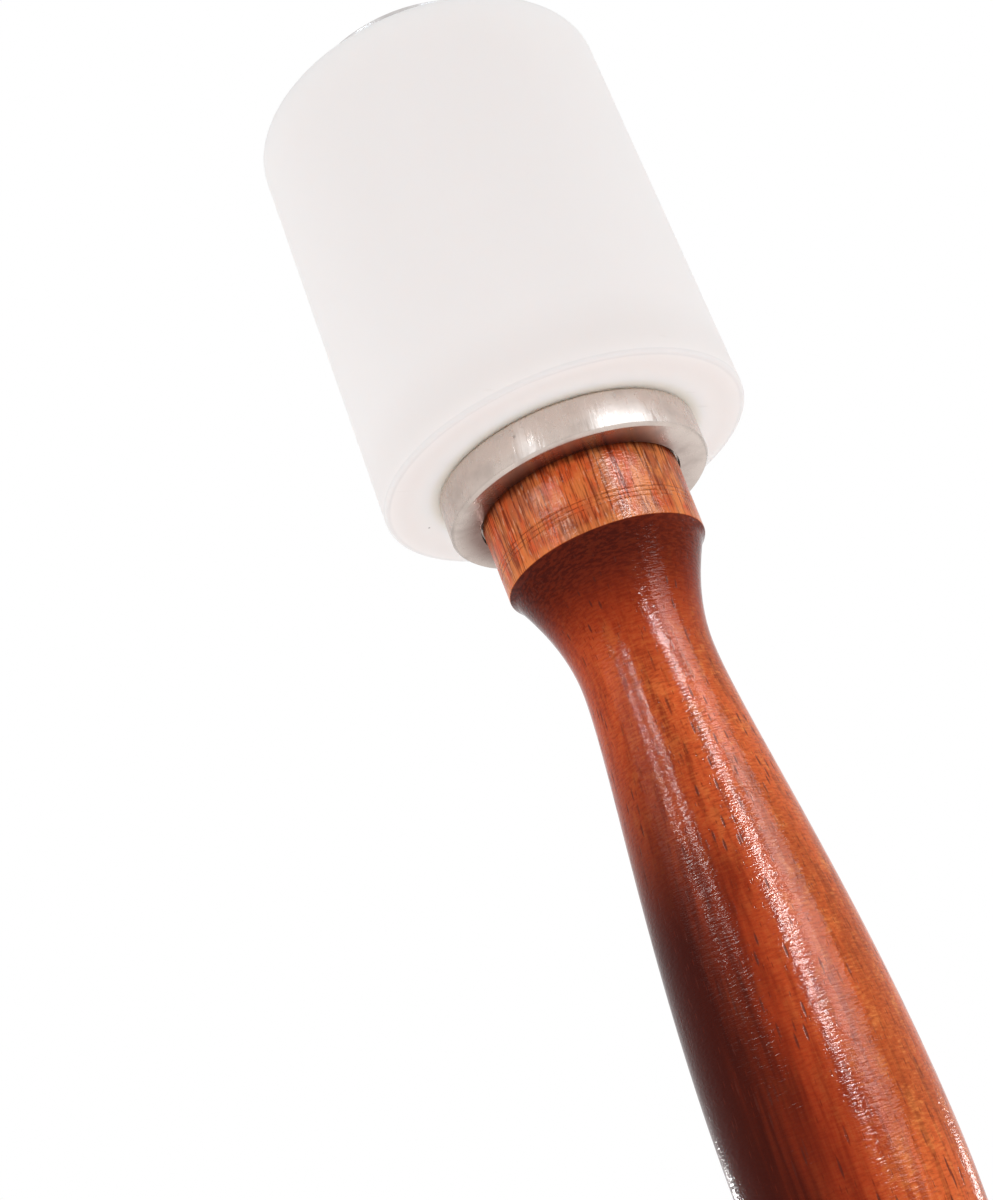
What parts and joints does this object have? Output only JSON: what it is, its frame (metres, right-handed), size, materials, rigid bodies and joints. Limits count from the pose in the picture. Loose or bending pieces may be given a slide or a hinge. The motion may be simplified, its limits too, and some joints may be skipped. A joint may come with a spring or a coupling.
{
  "type": "leather carving mallet",
  "caption": "Leather carving mallet with a nylon cylinder head clamped between turned aluminium plates on a turned wooden handle.",
  "frame": {"origin": "centre of the flat foot of the handle's butt, on the mallet's axis", "axes": "+Z along the axis from the butt to the head's flat top; X and Y are free, because the mallet is turned"},
  "size_m": [0.06, 0.06, 0.2131],
  "materials": {
    "nylon": "satin, slightly translucent white nylon",
    "aluminium": "turned satin",
    "lacquered_wood": "glossy clear lacquer over red-brown hardwood",
    "zinc_steel": "bright zinc plated",
    "spring_steel": "dull grey",
    "brass": "machined"
  },
  "bodies": {
    "root": {"nylon_head": "nylon", "top_plate": "aluminium", "base_collar": "aluminium", "wooden_handle": "lacquered_wood", "draw_bolt": "zinc_steel", "flat_washer": "zinc_steel", "lock_washer": "spring_steel", "threaded_insert": "brass"}
  },
  "joints": []
}
